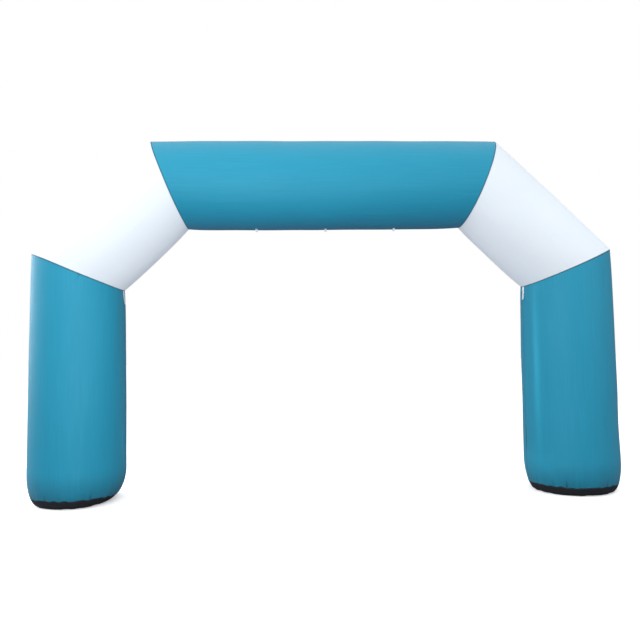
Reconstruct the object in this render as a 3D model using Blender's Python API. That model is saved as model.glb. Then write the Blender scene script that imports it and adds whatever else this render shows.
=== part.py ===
"""Inflatable arch: five lengths of air-filled cloth tube joined by mitre seams, on two black ground pans.

Metres, +Z up. X runs along the beam, Y runs through the passage, and the origin is on the ground midway
between the legs. Each length of tube is one filled solid, because the blown-up cloth and the air in it keep
one round shape. The arch is the same from the front and the back, so each right-hand piece shares the mesh
of the left-hand one and is turned half a turn about Z.
"""

import math

import bmesh
import bpy
import numpy as np

# The centre line of the tube.
LEG_AXIS_X = 2.75
LOWER_MITRE_Z = 2.50
UPPER_MITRE_X = 1.75
BEAM_AXIS_Z = 3.47

# The tube.
TUBE_RADIUS = 0.5
LEG_SPREAD = 0.013  # how much more radius a leg has at the ground than at its mitre
SEAM_DRAW_IN = 0.007  # how far a mitre seam holds the cloth in
SEAM_REACH = 0.20  # the distance along the tube in which that fades to about a third

# The foot, whose side turns in along a quarter of an ellipse.
FOOT_RISE = 0.35
FOOT_INSET = 0.14
PAN_SEAM_Z = 0.095  # where the coloured cloth is sewn to the black pan

# Webbing under the beam, for a banner or a lamp.
TIE_SPACING = 0.78
TIE_WIDTH = 0.025
TIE_DROP = 0.024
TIE_HALF_SPAN = 0.025
TIE_SEWN_END = 0.018

# Webbing tab that hangs from the inner corner of each lower mitre.
TAB_WIDTH = 0.05
TAB_DROP = 0.15
TAB_LIFT = 0.012  # how far its free end stands off the leg
TAB_TOP_CLEARANCE = 0.004

WEBBING_THICKNESS = 0.002
GAP = 0.0003  # between pieces that are sewn together

# Mesh density.
SIDES = 48
TUBE_RINGS = 10
FOOT_RINGS = 5
PAN_RINGS = 6
TIE_POINTS = 29
TAB_POINTS = 9


def clear_scene():
    for obj in list(bpy.data.objects):
        bpy.data.objects.remove(obj)


def cloth(name, colour, roughness):
    material = bpy.data.materials.new(name)
    material.use_nodes = True
    shader = material.node_tree.nodes["Principled BSDF"]
    shader.inputs["Base Color"].default_value = (*colour, 1.0)
    shader.inputs["Roughness"].default_value = roughness
    shader.inputs["Metallic"].default_value = 0.0
    return material


def unit(vector):
    return vector / np.linalg.norm(vector)


def mitre_normal(axis_before, axis_after):
    """The normal of the plane that halves the turn between two lengths of tube."""
    return unit(axis_before + axis_after)


def around(axis):
    """Unit vectors that go once round a tube, from the front, by the right-hand rule about its axis."""
    angle = np.linspace(0.0, 2.0 * math.pi, SIDES, endpoint=False)
    front = np.array([0.0, -1.0, 0.0])
    side = np.cross(axis, front)
    return np.outer(np.cos(angle), front) + np.outer(np.sin(angle), side)


def held_in(distance):
    """How far a mitre seam still holds the cloth in, at a distance along the tube from it."""
    return SEAM_DRAW_IN * np.exp(-distance / SEAM_REACH)


def seam_spacing(rings, seam_at_start):
    """Shares from 0 to 1 along a tube, closest together at its seams."""
    step = np.linspace(0.0, 1.0, rings + 1)
    if seam_at_start:
        return 0.5 - 0.5 * np.cos(math.pi * step)
    return np.sin(0.5 * math.pi * step)


def tube_rings(start, end, start_plane, end_plane, seam_at_start=True, spread=0.0):
    """Rings of points of a straight tube whose ends are cut by two planes through start and end.

    Each line along the tube runs from one plane to the other. The tube's radius falls towards a mitre seam,
    and grows by spread from its end to its start.
    """
    axis = unit(end - start)
    length = np.linalg.norm(end - start)
    out = around(axis)
    seam_radius = TUBE_RADIUS - SEAM_DRAW_IN
    start_radius = seam_radius if seam_at_start else TUBE_RADIUS + spread
    first = (0.5 * GAP * seam_at_start - start_radius * (out @ start_plane)) / (axis @ start_plane)
    last = length - (0.5 * GAP + seam_radius * (out @ end_plane)) / (axis @ end_plane)
    share = seam_spacing(TUBE_RINGS, seam_at_start)[:, None]
    run = last - first
    radius = TUBE_RADIUS + spread * (1.0 - share) - held_in((1.0 - share) * run)
    if seam_at_start:
        radius = radius - held_in(share * run)
    along = first + share * run
    return start + along[..., None] * axis + radius[..., None] * out


def foot_radius(height):
    """The leg's radius at a height: a quarter of an ellipse, upright at FOOT_RISE and flat on the ground."""
    below = 1.0 - height / FOOT_RISE
    return TUBE_RADIUS + LEG_SPREAD - FOOT_INSET * (1.0 - math.sqrt(1.0 - below * below))


def foot_rings(low, high, count):
    """Level rings from low to high, spaced by equal angles of the ellipse."""
    angles = np.linspace(math.asin(1.0 - low / FOOT_RISE), math.asin(1.0 - high / FOOT_RISE), count + 1)
    out = around(np.array([0.0, 0.0, 1.0]))
    rings = []
    for angle in angles:
        height = FOOT_RISE * (1.0 - math.sin(angle))
        rings.append(foot_radius(height) * out + np.array([0.0, 0.0, height]))
    return np.array(rings)


def strap_rings(line, across, width):
    """Rectangles carried along a line of points, with the strap's width along across."""
    run = np.gradient(line, axis=0)
    run /= np.linalg.norm(run, axis=1, keepdims=True)
    half_width = 0.5 * width * across
    half_thickness = 0.5 * WEBBING_THICKNESS * np.cross(run, across)
    return np.stack(
        [
            line - half_width - half_thickness,
            line + half_width - half_thickness,
            line + half_width + half_thickness,
            line - half_width + half_thickness,
        ],
        axis=1,
    )


def loft(name, rings):
    """A closed mesh whose sides join each ring of points to the next, with a face over each end."""
    shape = bmesh.new()
    loops = []
    for ring in rings:
        loops.append([shape.verts.new(point) for point in ring])
    for lower, upper in zip(loops, loops[1:]):
        for i, corner in enumerate(lower):
            j = (i + 1) % len(lower)
            shape.faces.new((corner, lower[j], upper[j], upper[i]))
    shape.faces.new(reversed(loops[0]))
    shape.faces.new(loops[-1])
    mesh = bpy.data.meshes.new(name)
    shape.to_mesh(mesh)
    shape.free()
    mesh.shade_smooth()
    mesh.set_sharp_from_angle(angle=math.radians(35.0))
    return mesh


def place(name, mesh, material, location, parent, half_turn=False):
    if not mesh.materials:
        mesh.materials.append(material)
    obj = bpy.data.objects.new(name, mesh)
    bpy.context.scene.collection.objects.link(obj)
    obj.parent = parent
    obj.location = location
    obj.rotation_euler = (0.0, 0.0, math.pi if half_turn else 0.0)
    return obj


def leg_mesh(shoulder_axis):
    """The left leg, with its axis on Z: level rings round the foot, then the tube up to its mitre."""
    upright = np.array([0.0, 0.0, 1.0])
    foot = foot_rings(PAN_SEAM_Z + 0.5 * GAP, FOOT_RISE, FOOT_RINGS)
    tube = tube_rings(
        FOOT_RISE * upright,
        LOWER_MITRE_Z * upright,
        upright,
        mitre_normal(upright, shoulder_axis),
        seam_at_start=False,
        spread=LEG_SPREAD,
    )
    return loft("leg", np.concatenate([foot, tube[1:]]))


def pan_mesh():
    """The black pan under a leg: the lowest part of the foot, flat where it meets the ground."""
    return loft("pan", foot_rings(0.0, PAN_SEAM_Z - 0.5 * GAP, PAN_RINGS))


def shoulder_mesh(rise):
    """The left shoulder, from the lower mitre at the origin to the upper one at rise."""
    axis = unit(rise)
    lower = mitre_normal(np.array([0.0, 0.0, 1.0]), axis)
    upper = mitre_normal(axis, np.array([1.0, 0.0, 0.0]))
    return loft("shoulder", tube_rings(np.zeros(3), rise, lower, upper))


def beam_mesh(shoulder_axis):
    """The beam, centred on the origin, with a mitre at each end."""
    level = np.array([1.0, 0.0, 0.0])
    end = UPPER_MITRE_X * level
    falling = shoulder_axis * np.array([1.0, 1.0, -1.0])
    left = mitre_normal(shoulder_axis, level)
    right = mitre_normal(level, falling)
    return loft("beam", tube_rings(-end, end, left, right))


def tie_mesh():
    """A strip of webbing sewn under the beam at both ends, with a bell-shaped eye between them.

    It goes round the beam's axis, which is the local X axis. Its sewn ends lie on the tube's flat sides, and
    the eye's height is the square of a cosine.
    """
    seat = TUBE_RADIUS * math.cos(math.pi / SIDES) + 1.5 * GAP
    reach = TIE_HALF_SPAN + TIE_SEWN_END
    sideways = np.linspace(-reach, reach, TIE_POINTS)
    eye = np.cos(0.5 * math.pi * np.clip(sideways / TIE_HALF_SPAN, -1.0, 1.0)) ** 2
    radius = seat + 0.5 * WEBBING_THICKNESS + TIE_DROP * eye
    turn = sideways / TUBE_RADIUS
    line = np.stack([0.0 * turn, radius * np.sin(turn), -radius * np.cos(turn)], axis=1)
    return loft("tie", strap_rings(line, np.array([1.0, 0.0, 0.0]), TIE_WIDTH))


def tab_mesh(corner_z):
    """A doubled strip of webbing down the left leg's inner side, whose free end stands off a little."""
    down = np.linspace(0.0, 1.0, TAB_POINTS)
    height = corner_z - TAB_TOP_CLEARANCE - TAB_DROP * down
    leg_share = (corner_z - height) / (corner_z - FOOT_RISE)
    leg_radius = TUBE_RADIUS + LEG_SPREAD * leg_share - held_in(corner_z - height)
    outward = leg_radius + GAP + 0.5 * WEBBING_THICKNESS + TAB_LIFT * down**2
    line = np.stack([outward, 0.0 * down, height], axis=1)
    return loft("tab", strap_rings(line, np.array([0.0, 1.0, 0.0]), TAB_WIDTH))


def build():
    clear_scene()
    teal = cloth("teal_coated_cloth", (0.034, 0.283, 0.456), 0.45)
    white = cloth("white_coated_cloth", (0.86, 0.88, 0.90), 0.45)
    black = cloth("black_ground_sheet", (0.018, 0.019, 0.020), 0.6)
    webbing = cloth("white_webbing", (0.78, 0.80, 0.82), 0.8)

    arch = bpy.data.objects.new("arch", None)
    bpy.context.scene.collection.objects.link(arch)

    shoulder_rise = np.array([LEG_AXIS_X - UPPER_MITRE_X, 0.0, BEAM_AXIS_Z - LOWER_MITRE_Z])
    shoulder_axis = unit(shoulder_rise)
    lower_mitre = mitre_normal(np.array([0.0, 0.0, 1.0]), shoulder_axis)
    inner_corner_z = LOWER_MITRE_Z - (TUBE_RADIUS - SEAM_DRAW_IN) * lower_mitre[0] / lower_mitre[2]

    leg = leg_mesh(shoulder_axis)
    pan = pan_mesh()
    shoulder = shoulder_mesh(shoulder_rise)
    tab = tab_mesh(inner_corner_z)
    for side, x, half_turn in (("left", -LEG_AXIS_X, False), ("right", LEG_AXIS_X, True)):
        ground = (x, 0.0, 0.0)
        place(f"leg_tube_{side}", leg, teal, ground, arch, half_turn)
        place(f"ground_pan_{side}", pan, black, ground, arch, half_turn)
        place(f"shoulder_tube_{side}", shoulder, white, (x, 0.0, LOWER_MITRE_Z), arch, half_turn)
        place(f"corner_tab_{side}", tab, webbing, ground, arch, half_turn)

    place("beam_tube", beam_mesh(shoulder_axis), teal, (0.0, 0.0, BEAM_AXIS_Z), arch)
    tie = tie_mesh()
    for side, x in (("left", -TIE_SPACING), ("centre", 0.0), ("right", TIE_SPACING)):
        place(f"tie_loop_{side}", tie, webbing, (x, 0.0, BEAM_AXIS_Z), arch)


build()
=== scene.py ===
# %% [markdown]
# # An inflatable arch
# The arch is one long bag of coated cloth, kept round by the air in it. Five lengths of tube meet in mitred
# seams: two upright legs, two sloping shoulders and a level beam. The CAD frame already holds each length
# as a plain solid at its real size. This lesson covers those solids with sewn skins: cloth that is drawn in
# and puckered at its seams, rows of stitches, black ground pans and webbing.

# %% Load the fixed frame
import math

import bpy
import numpy as np
from mathutils import Matrix, Vector


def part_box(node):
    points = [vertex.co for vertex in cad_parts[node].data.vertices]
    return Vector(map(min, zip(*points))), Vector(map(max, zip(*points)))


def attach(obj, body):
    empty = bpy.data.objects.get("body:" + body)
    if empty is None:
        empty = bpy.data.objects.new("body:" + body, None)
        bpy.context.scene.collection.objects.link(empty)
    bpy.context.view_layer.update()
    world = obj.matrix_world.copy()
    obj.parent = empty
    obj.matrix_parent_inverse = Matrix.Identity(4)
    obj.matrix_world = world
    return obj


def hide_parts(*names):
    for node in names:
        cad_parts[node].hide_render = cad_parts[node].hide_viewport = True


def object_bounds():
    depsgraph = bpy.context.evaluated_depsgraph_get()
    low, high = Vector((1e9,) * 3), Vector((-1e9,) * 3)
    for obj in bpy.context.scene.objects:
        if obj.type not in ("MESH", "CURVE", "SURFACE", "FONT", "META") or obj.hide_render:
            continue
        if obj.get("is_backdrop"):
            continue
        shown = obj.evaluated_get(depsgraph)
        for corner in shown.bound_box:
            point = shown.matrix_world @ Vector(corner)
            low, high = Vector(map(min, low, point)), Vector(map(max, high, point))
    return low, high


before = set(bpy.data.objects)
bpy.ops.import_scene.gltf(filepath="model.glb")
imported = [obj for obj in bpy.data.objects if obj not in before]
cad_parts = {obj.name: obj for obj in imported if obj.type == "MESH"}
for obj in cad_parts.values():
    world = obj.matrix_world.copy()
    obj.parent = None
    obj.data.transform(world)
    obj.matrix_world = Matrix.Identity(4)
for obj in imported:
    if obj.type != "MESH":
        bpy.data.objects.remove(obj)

cad_low, cad_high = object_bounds()
print("frame box", [round(x, 3) for x in (*cad_low, *cad_high)])

# %% [markdown]
# Every driving size is read back from the frame, so the skins fit the solids whatever size those are. A mitre
# cuts the tube on a slant. Its middle is halfway between the highest point of the tube below it and the
# lowest point of the tube above it, because one is the outer corner of the same cut and the other its inner
# corner.

# %% Driving sizes, in metres
leg_low, leg_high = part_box("leg_tube_left")
shoulder_low, shoulder_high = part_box("shoulder_tube_left")
beam_low, beam_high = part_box("beam_tube")
_, pan_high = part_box("ground_pan_left")

TUBE_RADIUS = 0.5 * (beam_high.z - beam_low.z)
LEG_X = -0.5 * (leg_low.x + leg_high.x)
BEAM_Z = 0.5 * (beam_low.z + beam_high.z)
LOWER_MITRE_Z = 0.5 * (leg_high.z + shoulder_low.z)
UPPER_MITRE_X = -0.5 * (beam_low.x + shoulder_high.x)
PAN_SEAM_Z = 0.5 * (leg_low.z + pan_high.z)
LEG_SPREAD = 0.5 * (leg_high.x - leg_low.x) - TUBE_RADIUS
FOOT_RISE = 0.35  # height at which the side of the foot starts to turn in
FOOT_INSET = 0.14  # how far it has turned in at the ground
GAP = 0.0003  # between pieces that are sewn together
FULL_TURN = 2.0 * math.pi
print(f"tube radius {TUBE_RADIUS:.3f}, legs at {LEG_X:.3f}, beam at {BEAM_Z:.3f}")
print(f"mitres at height {LOWER_MITRE_Z:.3f} and at {UPPER_MITRE_X:.3f} from the middle")

# %% [markdown]
# The camera stands where a person would, a little left of the middle, with its lens at eye height. The wide
# beam fills the view from a few steps away, so the lens is slightly wide. Its turn is given as three angles,
# and they are made into a matrix whose columns are the view's right, its up, and the way back to the eye.

# %% Camera
EYE = Vector((-0.438, cad_low.y - 6.8945, 1.647))
TURN, TILT, LEAN = -0.0481, 0.0667, -0.0146  # radians: to the left, up, and about the line of sight


def look(turn, tilt, lean):
    """The camera's axes. Forward is turned about the vertical and tilted up; right and up lean about it."""
    forward = Vector((-math.sin(turn) * math.cos(tilt), math.cos(turn) * math.cos(tilt), math.sin(tilt)))
    level = Vector((math.cos(turn), math.sin(turn), 0.0))
    above = level.cross(forward)
    right = level * math.cos(lean) + above * math.sin(lean)
    up = above * math.cos(lean) - level * math.sin(lean)
    return Matrix((right, up, -forward)).transposed()


camera = bpy.data.objects.new("camera", bpy.data.cameras.new("camera"))
camera.data.lens = 37.0
camera.data.shift_x = 0.0011
camera.data.shift_y = -0.0283
camera.matrix_world = Matrix.Translation(EYE) @ look(TURN, TILT, LEAN).to_4x4()
bpy.context.scene.collection.objects.link(camera)
bpy.context.scene.camera = camera
print("camera at", [round(x, 3) for x in EYE])

# %% [markdown]
# Nodes are how Blender describes a finish. One small function adds a node with its settings and fills in its
# inputs: a value that is another node's output becomes a link, and any other value is typed into the socket.
# Colours are written as the hex codes a printer would use, and turned to the linear light that Blender needs.

# %% Helpers for materials
WHITE = (1.0, 1.0, 1.0, 1.0)
FIRST, SECOND, MIXED = 6, 7, 2  # the sockets of a Mix node for its two colours and for its result


def linear(code):
    """A hex colour as linear light. Each sRGB channel is undone by its own curve: nearly a power of 2.4."""
    channels = [int(code[i : i + 2], 16) / 255 for i in (1, 3, 5)]
    return (*[c / 12.92 if c <= 0.04045 else ((c + 0.055) / 1.055) ** 2.4 for c in channels], 1.0)


def fill(tree, node, inputs):
    """Fill in a node's inputs by name or number: outputs of other nodes become links, values are typed."""
    for key, value in inputs.items():
        if isinstance(value, bpy.types.NodeSocket):
            tree.links.new(value, node.inputs[key])
        else:
            node.inputs[key].default_value = value


def add(tree, kind, inputs=None, **settings):
    """One new node of a kind, with its settings made and its inputs filled in."""
    node = tree.nodes.new(kind)
    for name, value in settings.items():
        setattr(node, name, value)
    fill(tree, node, inputs or {})
    return node


def new_material(name):
    """An empty material, its tree of nodes, and the Principled shader that is joined to its output."""
    material = bpy.data.materials.new(name)
    material.use_nodes = True
    return material, material.node_tree, material.node_tree.nodes["Principled BSDF"]


print("teal in linear light", [round(c, 3) for c in linear("#1b86a2")])

# %% [markdown]
# The arch stands on white paper that runs far beyond the view. The paper looks white, but what it throws back
# up is kept low and bluish, or the undersides would glow. A Light Path node tells the two kinds of ray apart.

# %% Floor
scene = bpy.context.scene
scene.view_settings.view_transform = "Standard"

FLOOR_HALF = 60.0
FLOOR_DROP = 0.0005
FLOOR_GLOW = 0.34  # so that the paper looks white to the eye although little light falls on it


def floor_finish():
    """Matt white paper. Light that bounces off it is taken as coming from a darker, bluer floor."""
    material, tree, shader = new_material("matt_paper_floor")
    seen = add(tree, "ShaderNodeLightPath").outputs["Is Camera Ray"]
    tones = {"Factor": seen, FIRST: linear("#616778"), SECOND: linear("#f7f7f7")}
    tone = add(tree, "ShaderNodeMix", tones, data_type="RGBA")
    glow = add(tree, "ShaderNodeMath", {0: seen, 1: FLOOR_GLOW}, operation="MULTIPLY")
    fill(tree, shader, {"Base Color": tone.outputs[MIXED], "Emission Strength": glow.outputs[0]})
    fill(tree, shader, {"Emission Color": WHITE, "Roughness": 0.9, "Specular IOR Level": 0.1})
    return material


corners = [(FLOOR_HALF * x, FLOOR_HALF * y, -FLOOR_DROP) for x, y in ((-1, -1), (1, -1), (1, 1), (-1, 1))]
floor_mesh = bpy.data.meshes.new("floor")
floor_mesh.from_pydata(corners, [], [(0, 1, 2, 3)])
floor_mesh.materials.append(floor_finish())
floor = bpy.data.objects.new("floor", floor_mesh)
scene.collection.objects.link(floor)
floor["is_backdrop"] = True
print(f"floor {2 * FLOOR_HALF:.0f} m across")

# %% [markdown]
# The sky is white wherever the camera sees it. Its light is another matter: it comes mostly from overhead, as
# through a diffusing roof, and fades towards the horizon, so that the sides of the tubes can fall into shade.

# %% Sky
OVERHEAD = 1.95  # how bright the sky is straight above


def sky():
    """White to the eye. Its light fades towards the horizon: the squared cosine of the angle from the top."""
    world = bpy.data.worlds.new("soft_sky")
    world.use_nodes = True
    tree = world.node_tree
    tree.nodes.clear()
    where = add(tree, "ShaderNodeTexCoord")
    above = add(tree, "ShaderNodeSeparateXYZ", {0: where.outputs["Generated"]})
    cosine = add(tree, "ShaderNodeMath", {0: above.outputs["Z"], 1: 0.0}, operation="MAXIMUM")
    square = add(tree, "ShaderNodeMath", {0: cosine.outputs[0], 1: 2.0}, operation="POWER")
    level = add(tree, "ShaderNodeMath", {0: square.outputs[0], 1: OVERHEAD}, operation="MULTIPLY")
    light = add(tree, "ShaderNodeBackground", {"Color": linear("#f4f9ff"), "Strength": level.outputs[0]})
    shown = add(tree, "ShaderNodeBackground", {"Color": WHITE, "Strength": 1.0})
    seen = add(tree, "ShaderNodeLightPath").outputs["Is Camera Ray"]
    both = add(tree, "ShaderNodeMixShader", {0: seen, 1: light.outputs[0], 2: shown.outputs[0]})
    add(tree, "ShaderNodeOutputWorld", {"Surface": both.outputs[0]})
    return world


scene.world = sky()
print("sky:", len(scene.world.node_tree.nodes), "nodes")

# %% [markdown]
# Five soft lamps do the rest. Most of their light comes from above and from the left, so the right of each
# leg and the underside of the beam are shaded, which is what makes a tube look round. The smallest stands in
# the passage, and lifts the beam's left end and its underside a little.

# %% Lamps


def softbox(name, place, aim, size, power):
    """A square lamp at a place, turned towards a point on the arch. It isn't seen itself, only its light."""
    lamp = bpy.data.lights.new(name, "AREA")
    lamp.shape = "SQUARE"
    lamp.size = size
    lamp.energy = power
    holder = bpy.data.objects.new(name, lamp)
    holder.location = place
    holder.rotation_euler = (Vector(aim) - Vector(place)).to_track_quat("-Z", "Y").to_euler()
    holder.visible_camera = False
    scene.collection.objects.link(holder)
    print(f"{name}: {power:.0f} W")


softbox("front_lamp", (-1.3, -6.0, 2.8), (0.0, 0.0, 2.8), 4.0, 292.0)
softbox("high_left_lamp", (-6.5, -3.5, 6.5), (-1.5, 0.0, 2.0), 4.0, 210.0)
softbox("back_left_lamp", (-7.0, 2.0, 3.5), (-1.5, 0.0, 2.0), 4.0, 290.0)
softbox("right_lamp", (6.5, -5.0, 4.5), (1.0, 0.0, 2.4), 4.0, 203.0)
softbox("passage_lamp", (-0.9, -2.4, 1.9), (-1.2, 0.0, 3.3), 1.5, 10.0)

# %% [markdown]
# The skins need room to be uneven in the way sewn cloth is. Slow waves come from cloth that was never cut
# quite true. Puckers are short valleys that run away from a seam, where a longer edge was eased into a
# shorter one. Each is a sum of a few terms whose places are drawn once from a seeded generator, so the arch
# comes out the same every time.

# %% Slow waves and puckers
PUCKER_RISE = 0.012  # the distance from the seam in which a pucker comes to two thirds of its depth


def wrapped(angle):
    """An angle brought to between minus and plus half a turn."""
    return (angle + math.pi) % FULL_TURN - math.pi


def slow_waves(angle, along, seed):
    """Unit-sized waves: a sum of cosines round the tube times cosines along it, 0.5 to 2.5 m long."""
    draw = np.random.default_rng(seed)
    total = np.zeros(np.broadcast(angle, along).shape)
    for turns in (1, 2, 3, 4, 5, 6):
        length, phase, start = draw.uniform(0.5, 2.5), *draw.uniform(0.0, FULL_TURN, 2)
        total += np.cos(turns * angle + phase) * np.cos(FULL_TURN * along / length + start)
    return total / math.sqrt(6.0)


def puckers(angle, distance, seed, count, depth, reach):
    """Valleys across a seam: each a bell curve round the tube, which rises, then fades over its reach."""
    draw = np.random.default_rng(seed)
    total = np.zeros(np.broadcast(angle, distance).shape)
    places = (np.arange(count) + draw.uniform(-0.42, 0.42, count)) * FULL_TURN / count
    for place in places:
        width, deep, long = draw.uniform(0.012, 0.026), draw.uniform(0.15, 1.0) ** 1.6, draw.uniform(0.5, 1.5)
        across = np.exp(-((wrapped(angle - place) / width) ** 2))
        down = (1.0 - np.exp(-distance / PUCKER_RISE)) * np.exp(-distance / (reach * long))
        total -= deep * across * down
    return depth * total


print("largest slow wave", round(float(slow_waves(np.linspace(0, 6.28, 90), 1.0, 1).max()), 2))

# %% [markdown]
# Creases are long shallow folds along the tube. A few are placed one by one on the legs, where the cloth is
# slackest. A scatter of very faint ones stands for the folds that packing the arch in its bag has left.

# %% Creases and streaks


def crease(angle, along, place, width, low, high):
    """A unit ridge along the tube: a bell curve round it, which swells and fades between two lengths."""
    share = np.clip((along - low) / (high - low), 0.0, 1.0)
    return np.exp(-((wrapped(angle - place) / width) ** 2)) * np.sin(math.pi * share) ** 2


def streaks(angle, along, seed, count, low, high):
    """A scatter of creases of either sign, each some half a metre to two metres long."""
    draw = np.random.default_rng(seed)
    total = np.zeros(np.broadcast(angle, along).shape)
    for _ in range(count):
        start, length = draw.uniform(low, high), draw.uniform(0.5, 2.0)
        size, width = draw.uniform(-1.0, 1.0), draw.uniform(0.03, 0.09)
        place = draw.uniform(0.0, FULL_TURN)
        total += size * crease(angle, along, place, width, start - 0.5 * length, start + 0.5 * length)
    return total


print("a crease across:", np.round(crease(np.array([-0.03, 0.0, 0.03]), 0.5, 0.0, 0.03, 0.0, 1.0), 2))

# %% [markdown]
# A seam on such a tube is felled: one edge is folded round the other and both are stitched flat. It shows as
# a narrow groove with a low step on each side, about 12 mm wide, where the cloth is four layers thick. Air
# pressure swells the cloth between seams but not the seams, so the tube is a little narrower there, most of
# all on the inside of each bend, where there is cloth to spare.

# %% Shape of a seam
DRAW_IN = 0.007  # how far a seam holds the cloth in
INNER_DRAW_IN = 0.009  # how much further on the inside of a bend
DRAW_REACH = 0.20  # the distance in which that fades to about a third
GROOVE_DEPTH, GROOVE_WIDTH = 0.0035, 0.0035
FELL_HEIGHT, FELL_WIDTH, FELL_EDGE = 0.0010, 0.012, 0.0012
LARGEST_POWER = 700.0  # e to a much higher power is too large a number to hold


def facing_in(angle):
    """1 on the inside of the bend, and nothing from a quarter turn on: the cosine squared."""
    return np.clip(np.cos(angle), 0.0, 1.0) ** 2


def facing_out(angle):
    """The same on the outside of the bend."""
    return np.clip(-np.cos(angle), 0.0, 1.0) ** 2


def held_in(angle, distance):
    """How far a mitre seam draws the cloth in: an exponential, deeper where the angle is near the inside."""
    return (DRAW_IN + INNER_DRAW_IN * facing_in(angle)) * np.exp(-distance / DRAW_REACH)


def felled(distance):
    """The relief of a felled seam: a bell-shaped groove at 0, then a step that ends smoothly at its width."""
    groove = GROOVE_DEPTH * np.exp(-((distance / GROOVE_WIDTH) ** 2))
    beyond = np.minimum((distance - FELL_WIDTH) / FELL_EDGE, LARGEST_POWER)
    return FELL_HEIGHT / (1.0 + np.exp(beyond)) - groove


print("a seam from its middle outwards, mm:", np.round(1000 * felled(np.array([0, 0.004, 0.008, 0.016])), 2))

# %% [markdown]
# A grid that is fine everywhere would have millions of faces. This one puts its lines where they are needed:
# a density says how many lines there should be at each place, and the lines are spaced by its running total.

# %% Grid lines where they are needed
SIDES = 440
RINGS = {"beam": 165, "shoulder": 105, "leg": 160}
INNER_SEAM_SPREAD = 0.05  # radians each side of the lengthwise seam where the lines are close


def spaced(density, low, high, count):
    """count places from low to high, closest where the density is highest: its running total is inverted."""
    fine = np.linspace(low, high, 20 * count)
    middle = 0.5 * (fine[1:] + fine[:-1])
    total = np.concatenate([[0.0], np.cumsum(density(middle))])
    return np.interp(np.linspace(0.0, total[-1], count), total, fine)


def near_inner_seam(angle):
    """Six times as many lines at the lengthwise seam as elsewhere: 1, and a bell curve of height 5."""
    return 1.0 + 5.0 * np.exp(-((wrapped(angle) / INNER_SEAM_SPREAD) ** 2))


def near_mitre(distance):
    """How many more lines there are near a mitre seam: a steep exponential and a wide one."""
    return 12.0 * np.exp(-distance / 0.02) + 3.0 * np.exp(-distance / 0.10)


def shares(length, rings):
    """Places from 0 to 1 along a tube, closest together near the seams at its ends."""

    def density(gone):
        return 1.0 + near_mitre(length - gone) + near_mitre(gone)

    return spaced(density, 0.0, length, rings) / length


# One turn round the tube, from its innermost line to the front, the outside, the back and round again.
ANGLE = spaced(near_inner_seam, 0.0, FULL_TURN, SIDES + 1)
steps = 1000 * TUBE_RADIUS * np.diff(ANGLE)
print(f"lines from {steps.min():.1f} to {steps.max():.1f} mm apart round the tube")

# %% [markdown]
# A surface here is a grid of points, rings of them one after another. Joining each ring to the next gives the
# side of a tube. To close an end, the last ring is drawn together onto its middle in a few steps, and a fan
# of triangles fills what is left.

# %% From a grid of points to faces
CAP_RINGS = 3  # extra rings that close each end


def closed(points):
    """Rings with both ends drawn together onto the middle of the end ring, in equal steps."""
    share = (np.arange(CAP_RINGS, 0, -1) / (CAP_RINGS + 1))[:, None, None]
    first, last = points[0], points[-1]
    start = first.mean(0) + (1.0 - share) * (first - first.mean(0))
    end = last.mean(0) + share * (last - last.mean(0))
    return np.concatenate([start, points, end]), first.mean(0), last.mean(0)


def with_caps(values):
    """A number for each point of a closed tube: a cap takes its end ring's own, and a pole their mean."""
    caps = [np.repeat(ring, CAP_RINGS, 0) for ring in (values[:1], values[-1:])]
    whole = np.concatenate([caps[0], values, caps[1]])
    return np.concatenate([whole.ravel(), [whole[0].mean(), whole[-1].mean()]])


def tube_faces(rings, sides):
    """Four corners for each face between a ring and the next, all the way round, and three at each pole."""
    ring, side = np.meshgrid(np.arange(rings - 1), np.arange(sides), indexing="ij")
    beside = (side + 1) % sides
    near, far = ring * sides, (ring + 1) * sides
    quads = np.stack([near + side, far + side, far + beside, near + beside], axis=-1).reshape(-1, 4)
    side, beside = side[0], beside[0]
    pole, last = rings * sides, (rings - 1) * sides
    start_fan = np.stack([np.full(sides, pole), side, beside], axis=1)
    end_fan = np.stack([np.full(sides, pole + 1), last + beside, last + side], axis=1)
    return quads.tolist() + start_fan.tolist() + end_fan.tolist()


print("a closed tube of 5 rings by 8 sides has", len(tube_faces(5, 8)), "faces")

# %% [markdown]
# Each corner of each face also gets a place on a flat map, in metres, as the cloth lay when it was cut. The
# weave is drawn on that map, so it follows the cloth round. Numbers for the painted shade along seams and the
# painted highlight on crests go in as attributes, one for each point, which a material can read.

# %% A closed mesh with its flat map
SHARP = math.radians(60.0)  # edges that turn by more than this are drawn sharp


def lay_flat(mesh, across, along, width):
    """The map of a mesh in metres, from each point's place across and along cloth that is a width round."""
    corner = np.zeros(len(mesh.loops), np.int32)
    mesh.loops.foreach_get("vertex_index", corner)
    across, along = across[corner], along[corner]
    # A face that crosses the start of the turn takes that column's place at the far edge of the map.
    owner = np.repeat(np.arange(len(mesh.polygons)), [p.loop_total for p in mesh.polygons])
    widest = np.zeros(len(mesh.polygons))
    np.maximum.at(widest, owner, across)
    crosses = (widest[owner] > 0.75 * width) & (across < 0.25 * width)
    across = np.where(crosses, across + width, across)
    layer = mesh.uv_layers.new(name="cloth_metres")
    layer.data.foreach_set("uv", np.stack([across, along], axis=1).astype(np.float32).ravel())


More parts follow.
